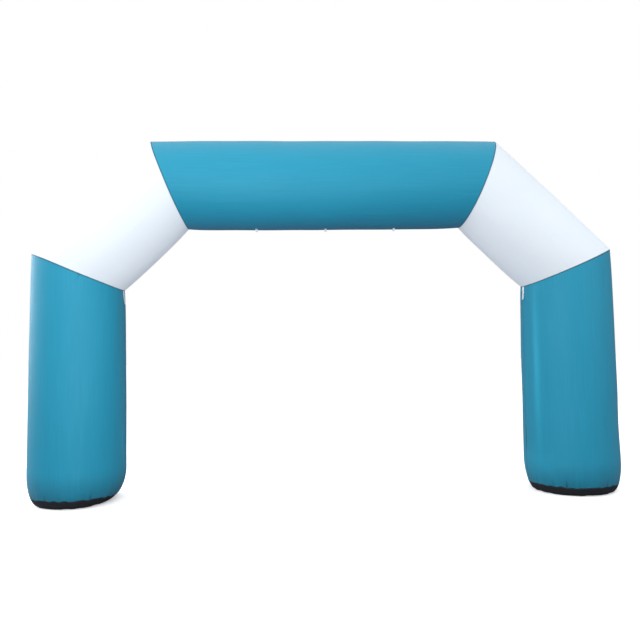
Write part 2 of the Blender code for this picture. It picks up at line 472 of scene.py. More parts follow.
def tube_mesh(name, points, flat, marks, flip=False):
    """A closed mesh from rings of points, its flat map in metres, and each mark's number from 0 to 1."""
    rings, sides = points.shape[:2]
    full, *poles = closed(points)
    faces = tube_faces(len(full), sides)
    mesh = bpy.data.meshes.new(name)
    vertices = np.concatenate([full.reshape(-1, 3), poles])
    mesh.from_pydata(vertices.tolist(), [], [face[::-1] for face in faces] if flip else faces)
    for mark, values in marks.items():
        layer = mesh.attributes.new(mark, "FLOAT", "POINT")
        layer.data.foreach_set("value", with_caps(values).astype(np.float32))
    around, along = flat
    lay_flat(mesh, with_caps(np.broadcast_to(around[:-1], (rings, sides))), with_caps(along), around[-1])
    mesh.shade_smooth()
    mesh.set_sharp_from_angle(angle=SHARP)
    return mesh


print("the weave's map is in metres, and the marks are seam and crest")

# %% [markdown]
# A finished mesh still has to be told where it belongs. It rides on the arch's only body, takes its finish,
# and stands for the plain solids that it covers.

# %% Put a piece in place
MIRRORED = np.array([-1.0, 1.0, 1.0])  # the right half of the arch is made as a left one, with X turned round


def place(name, mesh, material, slot, *nodes):
    """An object for a finished mesh, which rides on the arch, takes a finish and stands for nodes. slot is
    not used.
    """
    mesh.materials.append(material)
    piece = bpy.data.objects.new(name, mesh)
    scene.collection.objects.link(piece)
    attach(piece, "root")
    if nodes:
        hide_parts(*nodes)
    print(f"{name}: {len(mesh.polygons)} faces")
    return piece


print("nodes to stand for:", len(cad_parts))

# %% [markdown]
# The cloth is polyester woven from thick yarn and coated with polyurethane on the inside, which makes it hold
# air. To the eye it is nearly matt, with a broad soft gloss where the light glances off it. Its yarns are
# about half a millimetre apart, too fine to show on something six metres wide, so the weave is drawn at 3 mm.
# Grime gathers near the ground. The seam lines and the deep gathers above the pans are painted darker, as
# painted shade.

# %% A weave
YARN_DRAWN = 0.003


def weave_height(tree, across_metres, spacing):
    """A plain weave: the sine across the map times the sine along it, each one wave for two yarns."""
    parts = add(tree, "ShaderNodeSeparateXYZ", {0: across_metres})
    turns = math.pi / spacing
    waves = []
    for axis in ("X", "Y"):
        phase = add(tree, "ShaderNodeMath", {0: parts.outputs[axis], 1: turns}, operation="MULTIPLY")
        waves.append(add(tree, "ShaderNodeMath", {0: phase.outputs[0]}, operation="SINE").outputs[0])
    return add(tree, "ShaderNodeMath", {0: waves[0], 1: waves[1]}, operation="MULTIPLY").outputs[0]


print(f"the weave repeats every {2000 * YARN_DRAWN:.0f} mm")

# %% [markdown]
# One function makes the finish of both cloths. It builds the colour up in layers, each laid over the last:
# the dye, the yarns, a painted highlight on the crests of folds, painted shade along the seam lines and in
# the deep gathers, and the grime. White cloth also lets light through, and the light that spreads within the
# cloth is subsurface light. The white cloth also has a painted glow, an emission of its own, so that the
# shaded side of the tube is never dark.

# %% Coated polyester cloth
CLOTH_ROUGHNESS = 0.62


def coated_polyester(name, tones, contrast, glow):
    """Cloth that drifts between two tones, with streaky yarns, a painted highlight on fold crests, painted
    shade on seams and gathers, and a grimy foot.
    """
    base, drifted, painted_highlight_tone, shade, grime = [linear(code) for code in tones]
    material, tree, shader = new_material(name)
    where = add(tree, "ShaderNodeTexCoord").outputs["Object"]
    flat = add(tree, "ShaderNodeUVMap", uv_map="cloth_metres").outputs[0]

    # Dye lots and stretch: tones drift over about a metre.
    drift = add(tree, "ShaderNodeTexNoise", {"Vector": where, "Scale": 0.9, "Detail": 3.0})
    dye = {"Factor": drift.outputs["Fac"], FIRST: base, SECOND: drifted}
    dyed = add(tree, "ShaderNodeMix", dye, data_type="RGBA")
    # Thick and thin yarns: streaks a few millimetres wide that run along the tube.
    stretched = add(tree, "ShaderNodeMapping", {0: flat, "Scale": (90.0, 2.0, 1.0)})
    yarns = add(tree, "ShaderNodeTexNoise", {"Vector": stretched.outputs[0], "Scale": 1.0, "Detail": 2.0})
    levels = {"From Min": 0.3, "From Max": 0.7, "To Min": 1 - contrast, "To Max": 1 + contrast}
    level = add(tree, "ShaderNodeMapRange", {"Value": yarns.outputs["Fac"], **levels})
    streak = {0: dyed.outputs[MIXED], "Scale": level.outputs["Result"]}
    streaked = add(tree, "ShaderNodeVectorMath", streak, operation="SCALE")
    # A painted highlight on the crest of a long fold, palest where the fold stands highest.
    painted_crest_highlight = add(tree, "ShaderNodeAttribute", attribute_name="painted_crest_highlight").outputs["Fac"]
    crests = {"Factor": painted_crest_highlight, FIRST: streaked.outputs[0], SECOND: painted_highlight_tone}
    crested = add(tree, "ShaderNodeMix", crests, data_type="RGBA")
    # Painted shade along the line of a seam and in the deep gathers above the pans.
    seam = add(tree, "ShaderNodeAttribute", attribute_name="seam").outputs["Fac"]
    seams = {"Factor": seam, FIRST: crested.outputs[MIXED], SECOND: shade}
    seamed = add(tree, "ShaderNodeMix", seams, data_type="RGBA")
    # Grime thrown up from the ground, in patches, fading out at knee height.
    height = add(tree, "ShaderNodeSeparateXYZ", {0: where}).outputs["Z"]
    fade = {"Value": height, "From Min": 0.06, "From Max": 0.40, "To Min": 0.50, "To Max": 0.0}
    low = add(tree, "ShaderNodeMapRange", fade).outputs["Result"]
    patch = add(tree, "ShaderNodeTexNoise", {"Vector": where, "Scale": 7.0, "Detail": 5.0}).outputs["Fac"]
    grimy = add(tree, "ShaderNodeMath", {0: low, 1: patch}, operation="MULTIPLY")
    dirt = {"Factor": grimy.outputs[0], FIRST: seamed.outputs[MIXED], SECOND: grime}
    finished = add(tree, "ShaderNodeMix", dirt, data_type="RGBA")

    # The gloss is a little broken up, and the weave and the crumple of packing show in the light.
    dull = {"Value": patch, "To Min": CLOTH_ROUGHNESS - 0.05, "To Max": CLOTH_ROUGHNESS + 0.07}
    gloss = add(tree, "ShaderNodeMapRange", dull)
    weave = weave_height(tree, flat, YARN_DRAWN)
    woven = add(tree, "ShaderNodeBump", {"Strength": 0.35, "Distance": 0.0002, "Height": weave})
    folds = {"Vector": where, "Scale": 11.0, "Detail": 4.0, "Roughness": 0.55, "Distortion": 0.4}
    crumple = add(tree, "ShaderNodeTexNoise", folds).outputs["Fac"]
    bumps = {"Strength": 0.30, "Distance": 0.004, "Height": crumple, "Normal": woven.outputs[0]}
    bumped = add(tree, "ShaderNodeBump", bumps)
    fill(tree, shader, {"Base Color": finished.outputs[MIXED], "Roughness": gloss.outputs["Result"]})
    fill(tree, shader, {"Normal": bumped.outputs[0], "Specular IOR Level": 0.25})
    # glow brings the white cloth's subsurface light and its painted glow.
    fill(tree, shader, {"Sheen Weight": 0.09, "Sheen Roughness": 0.5, **glow})
    print(f"{name}: {len(tree.nodes)} nodes")
    return material


# Each cloth's tones: its dye, its drifted dye, a painted highlight for fold crests, painted shade for seams
# and gathers, and grime.
TEAL_TONES = ("#1b86a2", "#1f89a5", "#2a9dbb", "#0c323d", "#2c4a52")
WHITE_TONES = ("#b5bcc0", "#bac1c5", "#c8ced2", "#8f9aa1", "#a3a19b")
# Light that spreads within the white cloth, and a painted glow: an emission that lifts the shaded side of its
# tubes.
WHITE_SUBSURFACE_AND_PAINTED_GLOW = {
    "Subsurface Weight": 0.3,
    "Subsurface Radius": (0.03, 0.03, 0.03),
    "Subsurface Scale": 1.0,
    "Emission Color": linear("#eef4fb"),
    "Emission Strength": 0.32,
}
teal_cloth = coated_polyester("teal_coated_polyester", TEAL_TONES, 0.045, {})
white_cloth = coated_polyester("white_coated_polyester", WHITE_TONES, 0.006, WHITE_SUBSURFACE_AND_PAINTED_GLOW)

# %% [markdown]
# Each length of tube is one function of two parameters: how far round, and how far along. A point starts on
# the tube's axis, goes along it, and then straight out by the radius. The mitre is what makes it interesting:
# a line along the tube has to stop at a slanted plane, so its two ends are worked out first, from the plane.

# %% The centre line of the tube
FOOT = np.array([-LEG_X, 0.0, 0.0])
LOWER_CORNER = np.array([-LEG_X, 0.0, LOWER_MITRE_Z])
UPPER_CORNER = np.array([-UPPER_MITRE_X, 0.0, BEAM_Z])


def unit(vector):
    """A vector divided by its own length."""
    return vector / np.linalg.norm(vector)


leg_axis, shoulder_axis = unit(LOWER_CORNER - FOOT), unit(UPPER_CORNER - LOWER_CORNER)
beam_axis = np.array([1.0, 0.0, 0.0])
lower_plane = unit(leg_axis + shoulder_axis)
left_plane = unit(shoulder_axis + beam_axis)
right_plane = left_plane * np.array([1.0, 1.0, -1.0])
print("the shoulder slopes", round(math.degrees(math.asin(shoulder_axis[2])), 1), "degrees")


def outward(axis, angle):
    """Directions straight out of the tube: the inside of the bend at angle 0, the front a quarter turn on."""
    inner = np.array([axis[2], 0.0, -axis[0]])
    front = np.array([0.0, -1.0, 0.0])
    return np.cos(angle)[..., None] * inner + np.sin(angle)[..., None] * front


def seam_radius():
    """The tube's radius right at a mitre seam, the same for both tubes that meet there."""
    return TUBE_RADIUS - held_in(ANGLE, 0.0) + felled(0.0)


def line_ends(axis, length, planes, shifts):
    """Where each line along the tube starts and ends, as distances along its axis, from the two planes."""
    reach = seam_radius()
    out = outward(axis, ANGLE)
    first = (0.5 * GAP + shifts[0] - reach * (out @ planes[0])) / (axis @ planes[0])
    last = length - (0.5 * GAP - shifts[1] + reach * (out @ planes[1])) / (axis @ planes[1])
    return first, last


# %% [markdown]
# The lengthwise seam closes the cloth into a tube. It lies on the inside of the bend, where it is hidden from
# most views, and the webbing is sewn into it. Near a mitre the cloth is slack on that inner side, so the
# puckers are deepest there and almost vanish on the outside, where the cloth is tight.

# %% Radius of the tube, with all its unevenness
SLOW_WAVE = 0.0022
MITRE_PUCKER, MITRE_PUCKERS, MITRE_PUCKER_REACH = 0.0065, 44, 0.060
STREAK, STREAKS = 0.0016, 26
SEAM_CALM = 0.06  # the slow waves die away this near to a seam, which holds the cloth still


def uneven(angle, along, from_start, from_end, seed, length, start_seed, end_seed):
    """What is added to the plain radius, from distances along the tube and from each of its mitre seams."""
    slack = 0.35 + 0.65 * np.clip(np.cos(angle), 0.0, 1.0)
    calm = np.ones_like(from_end)
    relief = 0.0 * from_end
    for distance, seam_seed in ((from_start, start_seed), (from_end, end_seed)):
        if seam_seed is None:
            continue
        calm = calm * (1.0 - np.exp(-distance / SEAM_CALM))
        folds = puckers(angle, distance, seam_seed, MITRE_PUCKERS, MITRE_PUCKER, MITRE_PUCKER_REACH)
        relief = relief + slack * folds + felled(distance)
    waves = SLOW_WAVE * slow_waves(angle, along, seed)
    waves = waves + STREAK * streaks(angle, along, seed + 50, STREAKS, 0.0, length)
    return relief + calm * (waves + felled(TUBE_RADIUS * np.abs(wrapped(angle))))


def straight_tube(axis, start, length, planes, shifts, rings, seed, seam_seeds):
    """A tube mitred at both ends: its points, how far along and from a seam each is, and no painted fold
    shade or highlight.
    """
    first, last = line_ends(axis, length, planes, shifts)
    share = shares(length, rings)[:, None]
    run = last - first
    along = first + share * run
    from_start, from_end = share * run, (1.0 - share) * run
    angle = np.broadcast_to(ANGLE, along.shape)
    radius = TUBE_RADIUS - held_in(angle, from_start) - held_in(angle, from_end)
    radius = radius + uneven(angle, along, from_start, from_end, seed, length, *seam_seeds)
    radius[0] = radius[-1] = seam_radius()
    points = start + along[..., None] * axis + radius[..., None] * outward(axis, angle)
    plain = np.zeros(along.shape)
    return points, along, np.minimum(from_start, from_end), plain, plain


at_seam = 1000 * seam_radius()
print(f"radius at a mitre: {at_seam.min():.1f} mm inside the bend, {at_seam.max():.1f} mm outside")

# %% [markdown]
# A grid becomes a piece by one more function. It also says how dark each point is painted, as painted shade:
# a mitre seam's line is wide and dark on teal cloth and finer on white, the lengthwise seam's is fine and a
# little fainter, and the deep gathers above the pans are painted dark too.

# %% From a grid to a skin
# The painted shade along the seams: half its width at a mitre seam on each cloth, and at the lengthwise seam.
SEAM_LINE = {"teal_cloth": 0.009, "white_cloth": 0.004}  # half the width of a mitre seam's dark line
LENGTHWISE_LINE = 0.004


def painted_seam_shade(distance, width):
    """Painted shade along the seams: 1 on a mitre seam's line, a bell curve of that width, and fainter along
    the lengthwise seam.
    """
    lengthwise = TUBE_RADIUS * np.abs(wrapped(ANGLE))
    fainter = 0.8 * np.exp(-((lengthwise / LENGTHWISE_LINE) ** 2))
    return np.maximum(np.exp(-((distance / width) ** 2)), fainter)


def tube_piece(name, grid, material, slot, mirror=False):
    """The closed skin from a grid of points. A mirrored one has its X turned round and its faces flipped."""
    points, along, distance, shaded, painted_crest_highlight = grid
    points = points[:, :-1] * (MIRRORED if mirror else 1.0)
    # The seam mark is painted shade along the seams and in the deep gathers; the crest mark is a painted
    # highlight.
    marks = {"seam": np.maximum(painted_seam_shade(distance, SEAM_LINE[slot]), shaded)[:, :-1], "painted_crest_highlight": painted_crest_highlight[:, :-1]}
    mesh = tube_mesh(name, points, (TUBE_RADIUS * ANGLE, along[:, :-1]), marks, flip=mirror)
    piece = place(name, mesh, material, slot, name.replace("skin", "tube"))
    return piece


print("a seam's mark 9 mm away from it:", np.round(painted_seam_shade(0.009, 0.009)[SIDES // 2], 2))

# %% [markdown]
# The beam is the simplest length, level and mitred at both ends. A seam is never quite straight, so each
# mitre's line wanders by a millimetre or two. Both tubes that meet at a mitre follow the same line.

# %% Beam
SEAM_WANDER = 0.0015
seam_seeds = {"lower_left": 11, "upper_left": 12, "upper_right": 13, "lower_right": 14}
WANDER = {name: SEAM_WANDER * slow_waves(ANGLE, 0.0, seed) for name, seed in seam_seeds.items()}
beam_planes = (left_plane, right_plane)
beam_shifts = (WANDER["upper_left"], -WANDER["upper_right"])
beam_grid = straight_tube(
    beam_axis, UPPER_CORNER, 2.0 * UPPER_MITRE_X, beam_planes, beam_shifts, RINGS["beam"], 21, (31, 32)
)
tube_piece("beam_skin", beam_grid, teal_cloth, "teal_cloth")

# %% [markdown]
# The shoulders slope from the legs to the beam. The right one is worked out as a left one of its own, with
# other seeds, and then mirrored, so the two sides match without being copies.

# %% Shoulders
shoulder_length = float(np.linalg.norm(UPPER_CORNER - LOWER_CORNER))
shoulder_planes = (lower_plane, left_plane)
shoulder_grids = {}
for side, seed in (("left", 22), ("right", 23)):
    shifts = (WANDER[f"lower_{side}"], WANDER[f"upper_{side}"])
    rings, seeds = RINGS["shoulder"], (seed + 20, seed + 30)
    grid = straight_tube(
        shoulder_axis, LOWER_CORNER, shoulder_length, shoulder_planes, shifts, rings, seed, seeds
    )
    shoulder_grids[side] = grid
    tube_piece(f"shoulder_skin_{side}", grid, white_cloth, "white_cloth", mirror=side == "right")

# %% [markdown]
# A leg swells very slightly to the ground, and its foot turns in along a quarter of an ellipse to the black
# pan. Each foot has settled in its own way, further on one side than on the other. The teal cloth is gathered
# where it is sewn to the pan: a long edge has to fit a shorter one, so short upright puckers form all the way
# round, and the seam itself rises and falls by a few millimetres.

# %% Foot and its seam
PAN_PUCKER, PAN_PUCKERS = 0.009, 34
REACH_ABOVE, REACH_BELOW = 0.055, 0.022  # how far those puckers run up the leg, and down the pan
GATHER_DEPTH, GATHERS, GATHER_REACH = 0.016, 18, 0.026
PAN_SEAM_WAVE = 0.0065
PAN_SEAM_DIP = {"left": 0.022, "right": 0.004}
# How much further than a plain ellipse each foot turns in, on its inner and on its outer side.
SETTLED = {"left": (0.60, -0.25), "right": (-0.22, -0.38)}


def foot_radius(height, angle, settled):
    """The leg's radius near the ground: a quarter of an ellipse, upright at FOOT_RISE, which turns in further
    by the first share of settled on its inner side, and by the second on its outer side."""
    below = np.clip(1.0 - height / FOOT_RISE, 0.0, 1.0)
    inset = FOOT_INSET * (1.0 + settled[0] * facing_in(angle) + settled[1] * facing_out(angle))
    return TUBE_RADIUS + LEG_SPREAD - inset * (1.0 - np.sqrt(1.0 - below * below))


def pan_seam_height(side, seed):
    """The height of the seam to the pan round the leg: waves of some 6 mm, and a dip at the two sides."""
    waves = PAN_SEAM_WAVE * slow_waves(5.0 * ANGLE, 0.3, seed)
    return PAN_SEAM_Z + waves - PAN_SEAM_DIP[side] * np.cos(ANGLE) ** 4


def gathers(angle, from_pan, seed):
    """A few deep folds above the pan, where the spare length of the edge was gathered in."""
    return puckers(angle, from_pan, seed + 85, GATHERS, GATHER_DEPTH, GATHER_REACH)


seam_heights = 1000 * pan_seam_height("left", 24)
print(f"the left pan's seam is {seam_heights.min():.0f} to {seam_heights.max():.0f} mm up")

# %% [markdown]
# Both legs have folds of their own, which are listed one by one. Each is a crease or a bell curve with its
# place round the leg as an angle, where 0 is the innermost line and about 1.6 the front, and its heights in
# metres.

# %% Folds of the legs
TUCK_DEPTH, TUCK_PLACE, TUCK_WIDTH, TUCK_REACH = 0.012, 1.27, 0.03, 0.05
TUCK_SLANT, TUCK_SPREAD = 0.9, 0.035  # radians for each metre down, and to each side at the seam
PAINTED_HIGHLIGHT_FULL = 0.012  # the height of fold at which its painted highlight is at its palest


def swell(height, middle, reach):
    """A bell curve in height: 1 at the middle, and about a third at the reach."""
    return np.exp(-(((height - middle) / reach) ** 2))


def left_folds(angle, height):
    """A slack upright fold low on the leg, just in front of its innermost line."""
    return 0.006 * crease(angle, height, 0.17, 0.035, 0.35, 0.90)


def right_folds(angle, height):
    """A sharp valley by the innermost line, a long ridge in front of it, and a foot that swells inwards."""
    swollen = 0.005 * facing_in(angle) * swell(height, 0.28, 0.16)
    hollow = 0.010 * facing_out(angle) * swell(height, 0.75, 0.30)
    valley = -0.007 * crease(angle, height, 0.02, 0.022, 0.33, 0.80)
    return swollen - hollow + valley + 0.011 * crease(angle, height, 0.47, 0.085, 0.1, 2.7)


def tuck(angle, from_end, side):
    """Where the left leg's seam was started and finished: a crossed pair of short folds just below it."""
    if side == "right":
        return 0.0 * angle
    fade = np.exp(-from_end / TUCK_REACH) * (1.0 - np.exp(-from_end / 0.01))
    slant = TUCK_SLANT * from_end - TUCK_SPREAD
    off = wrapped(angle - TUCK_PLACE)
    pair = [np.exp(-(((off + sign * slant) / TUCK_WIDTH) ** 2)) for sign in (-1.0, 1.0)]
    return -TUCK_DEPTH * fade * (pair[0] + pair[1])


print("right leg's ridge, mm:", round(1000 * float(right_folds(0.47, 1.4)), 1))

# %% [markdown]
# A leg is a grid like the others, except that its lower edge follows the seam to the pan. Its height takes
# the place of the distance along the tube, and the folds are added to its radius last.

# %% Legs


def leg_grid(side, seed, fold):
    """The left leg's points, from the pan to the mitre. fold adds this leg's own long folds to the radius."""
    _, last = line_ends(leg_axis, LOWER_MITRE_Z, (leg_axis, lower_plane), (0.0, WANDER[f"lower_{side}"]))
    low = pan_seam_height(side, seed) + 0.5 * GAP
    share = shares(LOWER_MITRE_Z, RINGS["leg"])[:, None]
    height = low + share * (last - low)
    from_pan, from_end = height - low, last - height
    angle = np.broadcast_to(ANGLE, height.shape)
    spread = LEG_SPREAD * np.clip((last - height) / (last - FOOT_RISE), 0.0, 1.0)
    foot = foot_radius(height, angle, SETTLED[side])
    radius = np.where(height < FOOT_RISE, foot, TUBE_RADIUS + spread) - held_in(angle, from_end)
    radius = radius + uneven(angle, height, from_pan, from_end, seed, LOWER_MITRE_Z, None, seed + 20)
    folds = puckers(angle, from_pan, seed + 80, PAN_PUCKERS, PAN_PUCKER, REACH_ABOVE)
    radius = radius + folds + felled(from_pan)
    gathered = gathers(angle, from_pan, seed)
    radius = radius + gathered + fold(angle, height) + tuck(angle, from_end, side)
    radius[-1] = seam_radius()
    radius[0] = foot[0] + felled(0.0)
    points = FOOT + height[..., None] * leg_axis + radius[..., None] * outward(leg_axis, angle)
    # Painted shade in the deep gathers, and a painted highlight on the crests of this leg's own folds.
    shaded = np.clip(-gathered / (0.5 * GATHER_DEPTH), 0.0, 1.0)
    painted_crest_highlight = np.clip(fold(angle, height) / PAINTED_HIGHLIGHT_FULL, 0.0, 1.0)
    return points, height, np.minimum(from_pan, from_end), shaded, painted_crest_highlight


leg_grids = {"left": leg_grid("left", 24, left_folds), "right": leg_grid("right", 25, right_folds)}
for side, grid in leg_grids.items():
    tube_piece(f"leg_skin_{side}", grid, teal_cloth, "teal_cloth", mirror=side == "right")

# %% [markdown]
# The ground pan is heavy black sheet, because it is dragged over tarmac. It is stiffer and coarser than the
# cloth, with a broken gloss, and is scuffed pale where it meets the ground.

# %% Ground sheet


def ground_sheet():
    """Vinyl-coated black sheet: grit breaks up its gloss and its surface, and scuffs it near the ground."""
    material, tree, shader = new_material("vinyl_coated_ground_sheet")
    where = add(tree, "ShaderNodeTexCoord").outputs["Object"]
    height = add(tree, "ShaderNodeSeparateXYZ", {0: where}).outputs["Z"]
    fade = {"Value": height, "From Min": 0.0, "From Max": 0.07, "To Min": 0.55, "To Max": 0.08}
    low = add(tree, "ShaderNodeMapRange", fade).outputs["Result"]
    grit = add(tree, "ShaderNodeTexNoise", {"Vector": where, "Scale": 24.0, "Detail": 6.0}).outputs["Fac"]
    scuffed = add(tree, "ShaderNodeMath", {0: low, 1: grit}, operation="MULTIPLY")
    tones = {"Factor": scuffed.outputs[0], FIRST: linear("#1c1e20"), SECOND: linear("#55534e")}
    colour = add(tree, "ShaderNodeMix", tones, data_type="RGBA")
    gloss = add(tree, "ShaderNodeMapRange", {"Value": grit, "To Min": 0.42, "To Max": 0.68})
    bump = add(tree, "ShaderNodeBump", {"Strength": 0.4, "Distance": 0.002, "Height": grit})
    fill(tree, shader, {"Base Color": colour.outputs[MIXED], "Roughness": gloss.outputs["Result"]})
    fill(tree, shader, {"Normal": bump.outputs[0]})
    print(f"ground sheet: {len(tree.nodes)} nodes")
    return material


black_sheet = ground_sheet()

# %% [markdown]
# The pan goes on down from the seam along the same ellipse and lies flat on the ground. Its puckers line up
# with those above the seam, because they are drawn from the same seed, and its lower edge is lifted a little
# here and there. Its grid is a flat disc of rings that grow to the foot's width, and then rings that climb.

# %% Ground pans
FLAT_RINGS, CLIMB_RINGS = 9, 25
EDGE_WAVE, EDGE_LIFT = 0.006, 0.007  # how uneven the lower edge is, sideways and upwards
EDGE_REACH = 0.03  # the height in which that fades
FLAT_RADIUS, FLAT_FADE = 0.25, 0.12  # quite flat within the first, and fully uneven the second further out


def pan_grid(side, seed):
    """The left pan's points, its heights, and how far each point is below the seam."""
    top = pan_seam_height(side, seed) - 0.5 * GAP
    angle = np.broadcast_to(ANGLE, (FLAT_RINGS + CLIMB_RINGS, len(ANGLE)))
    flat_share = np.linspace(0.15, 1.0, FLAT_RINGS + 1)[:-1, None]
    climb = np.linspace(0.0, 1.0, CLIMB_RINGS)[:, None] ** 1.6  # the rings are closest near the ground
    height = np.concatenate([0.0 * flat_share * top, top * climb])
    rim = foot_radius(0.0 * top, ANGLE, SETTLED[side])
    radius = np.concatenate([flat_share * rim, foot_radius(top * climb, ANGLE, SETTLED[side])])
    below = np.maximum(top - height, 0.0)
    folds = puckers(angle, below, seed + 80, PAN_PUCKERS, PAN_PUCKER, REACH_BELOW)
    radius = radius + folds * (height > 0.0) + felled(below)
    edge = np.exp(-((height / EDGE_REACH) ** 2)) * np.clip((radius - FLAT_RADIUS) / FLAT_FADE, 0.0, 1.0)
    radius = radius + EDGE_WAVE * edge * slow_waves(4.0 * angle, 0.2, seed + 90)
    height = height + EDGE_LIFT * edge * np.clip(slow_waves(3.0 * angle, 0.7, seed + 91), 0.0, 1.5)
    radius[-1] = foot_radius(top, ANGLE, SETTLED[side]) + felled(0.0)
    height[-1] = top
    points = FOOT + height[..., None] * leg_axis + radius[..., None] * outward(leg_axis, angle)
    return points, height, below


pan_grids = {"left": pan_grid("left", 24), "right": pan_grid("right", 25)}
for side, (points, height, _) in pan_grids.items():
    mirror = side == "right"
    points = points[:, :-1] * (MIRRORED if mirror else 1.0)
    pan = tube_mesh(f"pan_{side}", points, (TUBE_RADIUS * ANGLE, height[:, :-1]), {}, flip=mirror)
    piece = place(f"pan_skin_{side}", pan, black_sheet, "black_sheet", f"ground_pan_{side}")

# %% [markdown]
# Heavy cloth is sewn with thick bonded thread, about four or five millimetres to a stitch. A stitch is a
# short fat bead of thread that dips into the cloth at each end. It has only twenty faces, because there are
# thousands of them.

# %% One stitch
STITCH_PITCH, STITCH_LENGTH, STITCH_WIDTH = 0.005, 0.0040, 0.0011
STITCH_LIFT = 0.0002  # how far the middle of the thread stands off the cloth
LOOK_AHEAD = 0.001
BEAD_SIDES = 5
BEAD_WAIST = 0.45  # how far from the middle of a bead its two rings are


def bead():
    """A unit bead along X: two points, and two rings of five between them, with its faces pointing out."""
    turn = np.linspace(0.0, FULL_TURN, BEAD_SIDES, endpoint=False)
    ring = np.stack([0.0 * turn, np.cos(turn), np.sin(turn)], axis=1)
    tips = np.array([[-1.0, 0.0, 0.0]]), np.array([[1.0, 0.0, 0.0]])
    points = np.concatenate([tips[0], ring + [-BEAD_WAIST, 0, 0], ring + [BEAD_WAIST, 0, 0], tips[1]])
    end = len(points) - 1
    faces = []
    for i in range(BEAD_SIDES):
        low, low_next = 1 + i, 1 + (i + 1) % BEAD_SIDES
        high, high_next = low + BEAD_SIDES, low_next + BEAD_SIDES
        faces += [(0, low_next, low), (low, low_next, high_next)]
        faces += [(low, high_next, high), (high, high_next, end)]
    return points, np.array(faces)


BEAD_POINTS, BEAD_FACES = bead()
print(f"one stitch: {len(BEAD_POINTS)} points, {len(BEAD_FACES)} faces")

# %% [markdown]
# Stitches are laid in rows beside each seam, on the skin's own points, so that they follow every pucker. Each
# needs three directions: along the row, across it, and out of the cloth.

# %% A row of stitches


def reached(line):
    """How far along a line of points each point is."""
    return np.concatenate([[0.0], np.cumsum(np.linalg.norm(np.diff(line, axis=0), axis=1))])


def between(at, line_reach, values):
    """Values given at the points of a line, read off at other places along it."""
    return np.stack([np.interp(at, line_reach, values[:, k]) for k in range(3)], axis=1)


def row_of_stitches(line, normals):
    """Beads at an even pitch along a line on the cloth, with length along it and height out of the cloth.
    A stitch points to a place just ahead of it. Where the line has ended there, the stitch is left out."""
    gone = reached(line)
    at = np.arange(0.5 * STITCH_PITCH, gone[-1], STITCH_PITCH)
    points = between(at, gone, line)
    run = between(at + LOOK_AHEAD, gone, line) - points
    long = np.linalg.norm(run, axis=1)
    keep = long > 0.01 * LOOK_AHEAD
    points, run = points[keep], run[keep] / long[keep][:, None]
    up = between(at[keep], gone, normals)
    across = np.cross(up, run)
    across /= np.linalg.norm(across, axis=1, keepdims=True)
    up = np.cross(run, across)
    local = BEAD_POINTS * np.array([0.5 * STITCH_LENGTH, 0.5 * STITCH_WIDTH, 0.4 * STITCH_WIDTH])
    return (
        points[:, None]
        + local[:, 0, None] * run[:, None]
        + local[:, 1, None] * across[:, None]
        + (local[:, 2, None] + STITCH_LIFT) * up[:, None]
    )


line = np.linspace([0.0, 0.0, 0.0], [0.1, 0.0, 0.0], 9)
print("stitches in 100 mm:", len(row_of_stitches(line, np.tile([0.0, 0.0, 1.0], (9, 1)))))

# %% [markdown]
# Two kinds of row are needed: one that goes all the way round at a distance from a mitre, and one that runs
# beside the lengthwise seam. Both are read off the skin's own grid.

# %% Where the rows run
SEAM_ROW = 0.0085  # a row's distance from its seam
ROW_MARGIN = 0.03  # how far from the ends of the tube the lengthwise rows stop


def surface_normals(points):
    """Unit normals of a grid of points: the cross product of its directions along and round the tube."""
    normal = np.cross(np.gradient(points, axis=0), np.gradient(points, axis=1))
    return normal / np.linalg.norm(normal, axis=2, keepdims=True)


def row_at(grid, from_end):
    """The points and normals of a skin at a row's distance from one of its mitres, all the way round."""
    points, along = grid[:2]
    normals = surface_normals(points)
    gone = along[-1] - along if from_end else along - along[0]
    if from_end:
        points, normals, gone = points[::-1], normals[::-1], gone[::-1]
    column = np.arange(points.shape[1])
    after = (gone < SEAM_ROW).sum(axis=0)
    before = after - 1
    share = (SEAM_ROW - gone[before, column]) / (gone[after, column] - gone[before, column])
    pairs = [(values[before, column], values[after, column]) for values in (points, normals)]
    return [near + share[:, None] * (far - near) for near, far in pairs]


def mitre_rows(grid):
    """The two rows beside the mitres at the ends of a tube."""
    return [row_of_stitches(*row_at(grid, end)) for end in (False, True)]


def lengthwise_rows(grid):
    """The two rows beside the lengthwise seam, which stop short of the seams at the ends of the tube."""
    points, _, distance = grid[:3]
    normals = surface_normals(points)
    rows = []
    for offset in (SEAM_ROW, FULL_TURN * TUBE_RADIUS - SEAM_ROW):
        column = int(np.abs(TUBE_RADIUS * ANGLE - offset).argmin())
        inside = distance[:, column] > ROW_MARGIN
        rows.append(row_of_stitches(points[inside, column], normals[inside, column]))
    return rows


print("rows beside the beam's mitres:", [len(row) for row in mitre_rows(beam_grid)], "stitches")

# %% [markdown]
# The thread is the cloth's own colour, painted a shade lighter as a painted highlight, because bonded
# polyester is smooth and catches the light. Its tone varies a little from stitch to stitch.

# %% Thread


def bonded_thread(name, colour):
    """Bonded polyester thread: its colour varies slightly from stitch to stitch, with a waxy gloss."""
    material, tree, shader = new_material(name)
    where = add(tree, "ShaderNodeTexCoord").outputs["Object"]
    vary = add(tree, "ShaderNodeTexNoise", {"Vector": where, "Scale": 160.0}).outputs["Fac"]
    levels = {"Value": vary, "From Min": 0.3, "From Max": 0.7, "To Min": 0.85, "To Max": 1.1}
    tone = add(tree, "ShaderNodeMapRange", levels)
    scale = {0: linear(colour)[:3], "Scale": tone.outputs["Result"]}
    shaded = add(tree, "ShaderNodeVectorMath", scale, operation="SCALE")
    fill(tree, shader, {"Base Color": shaded.outputs[0], "Roughness": 0.38})
    return material


